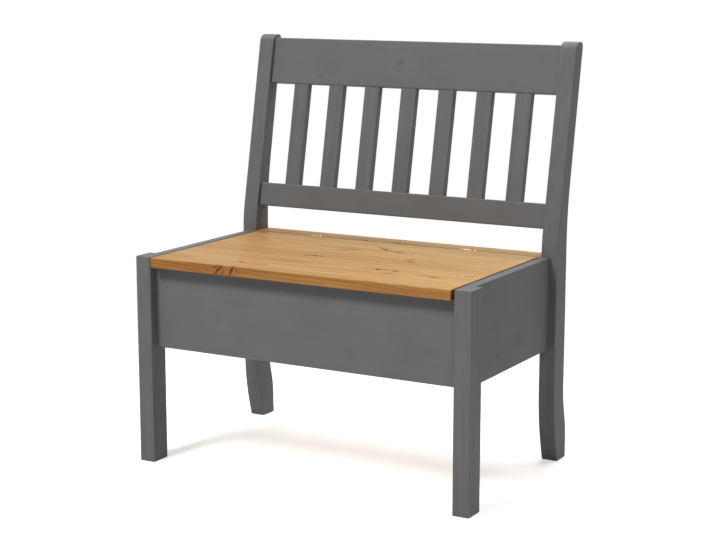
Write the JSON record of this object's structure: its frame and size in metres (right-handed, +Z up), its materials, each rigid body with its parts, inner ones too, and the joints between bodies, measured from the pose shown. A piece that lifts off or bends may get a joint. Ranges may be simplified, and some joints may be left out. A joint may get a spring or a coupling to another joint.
{
  "type": "storage bench",
  "caption": "Painted pine storage bench with a raked slatted back, shaped rear posts and a hinged natural wood seat lid over a box.",
  "frame": {"origin": "on the floor, under the middle of the bench's box", "axes": "+Z up from the floor, +Y towards the back rest, +X to the right as seen from the front"},
  "size_m": [0.8, 0.5406, 0.909],
  "materials": {
    "painted_pine": "grey satin paint over pine",
    "oiled_pine": "clear oiled honey pine",
    "bare_pine": "planed bare pine",
    "birch_plywood": "sanded plywood",
    "beech": "turned dowel",
    "brass_plated_steel": "bright plated",
    "zinc_plated_steel": "bright zinc"
  },
  "bodies": {
    "frame": {"back_panel": "painted_pine", "back_panel_dowels": "beech", "back_rail_dowels": "beech", "back_slat_1": "painted_pine", "back_slat_2": "painted_pine", "back_slat_3": "painted_pine", "back_slat_4": "painted_pine", "back_slat_5": "painted_pine", "back_slat_6": "painted_pine", "back_slat_7": "painted_pine", "box_floor": "birch_plywood", "box_floor_screws": "zinc_plated_steel", "crest_rail": "painted_pine", "floor_batten_back": "bare_pine", "floor_batten_front": "bare_pine", "floor_batten_left": "bare_pine", "floor_batten_right": "bare_pine", "floor_batten_screws": "zinc_plated_steel", "front_leg_left": "painted_pine", "front_leg_right": "painted_pine", "front_panel": "painted_pine", "front_panel_dowels": "beech", "hinge_left_pin": "brass_plated_steel", "hinge_left_strip_leaf": "brass_plated_steel", "hinge_right_pin": "brass_plated_steel", "hinge_right_strip_leaf": "brass_plated_steel", "hinge_strip": "oiled_pine", "hinge_strip_dowels": "beech", "hinge_strip_screws": "zinc_plated_steel", "lower_rail": "painted_pine", "rear_post_left": "painted_pine", "rear_post_right": "painted_pine", "side_panel_dowels": "beech", "side_panel_left": "painted_pine", "side_panel_right": "painted_pine"},
    "lid": {"lid": "oiled_pine", "lid_cleat_left": "bare_pine", "lid_cleat_right": "bare_pine", "lid_cleat_screws": "zinc_plated_steel", "hinge_left_lid_leaf": "brass_plated_steel", "hinge_right_lid_leaf": "brass_plated_steel", "hinge_lid_screws": "zinc_plated_steel"}
  },
  "joints": [
    {"name": "lid_hinge", "type": "hinge", "parent": "frame", "child": "lid", "pos_m": [0, 0.1492, 0.4564], "axis": [-1, 0, 0], "range_deg": [0, 102]}
  ]
}
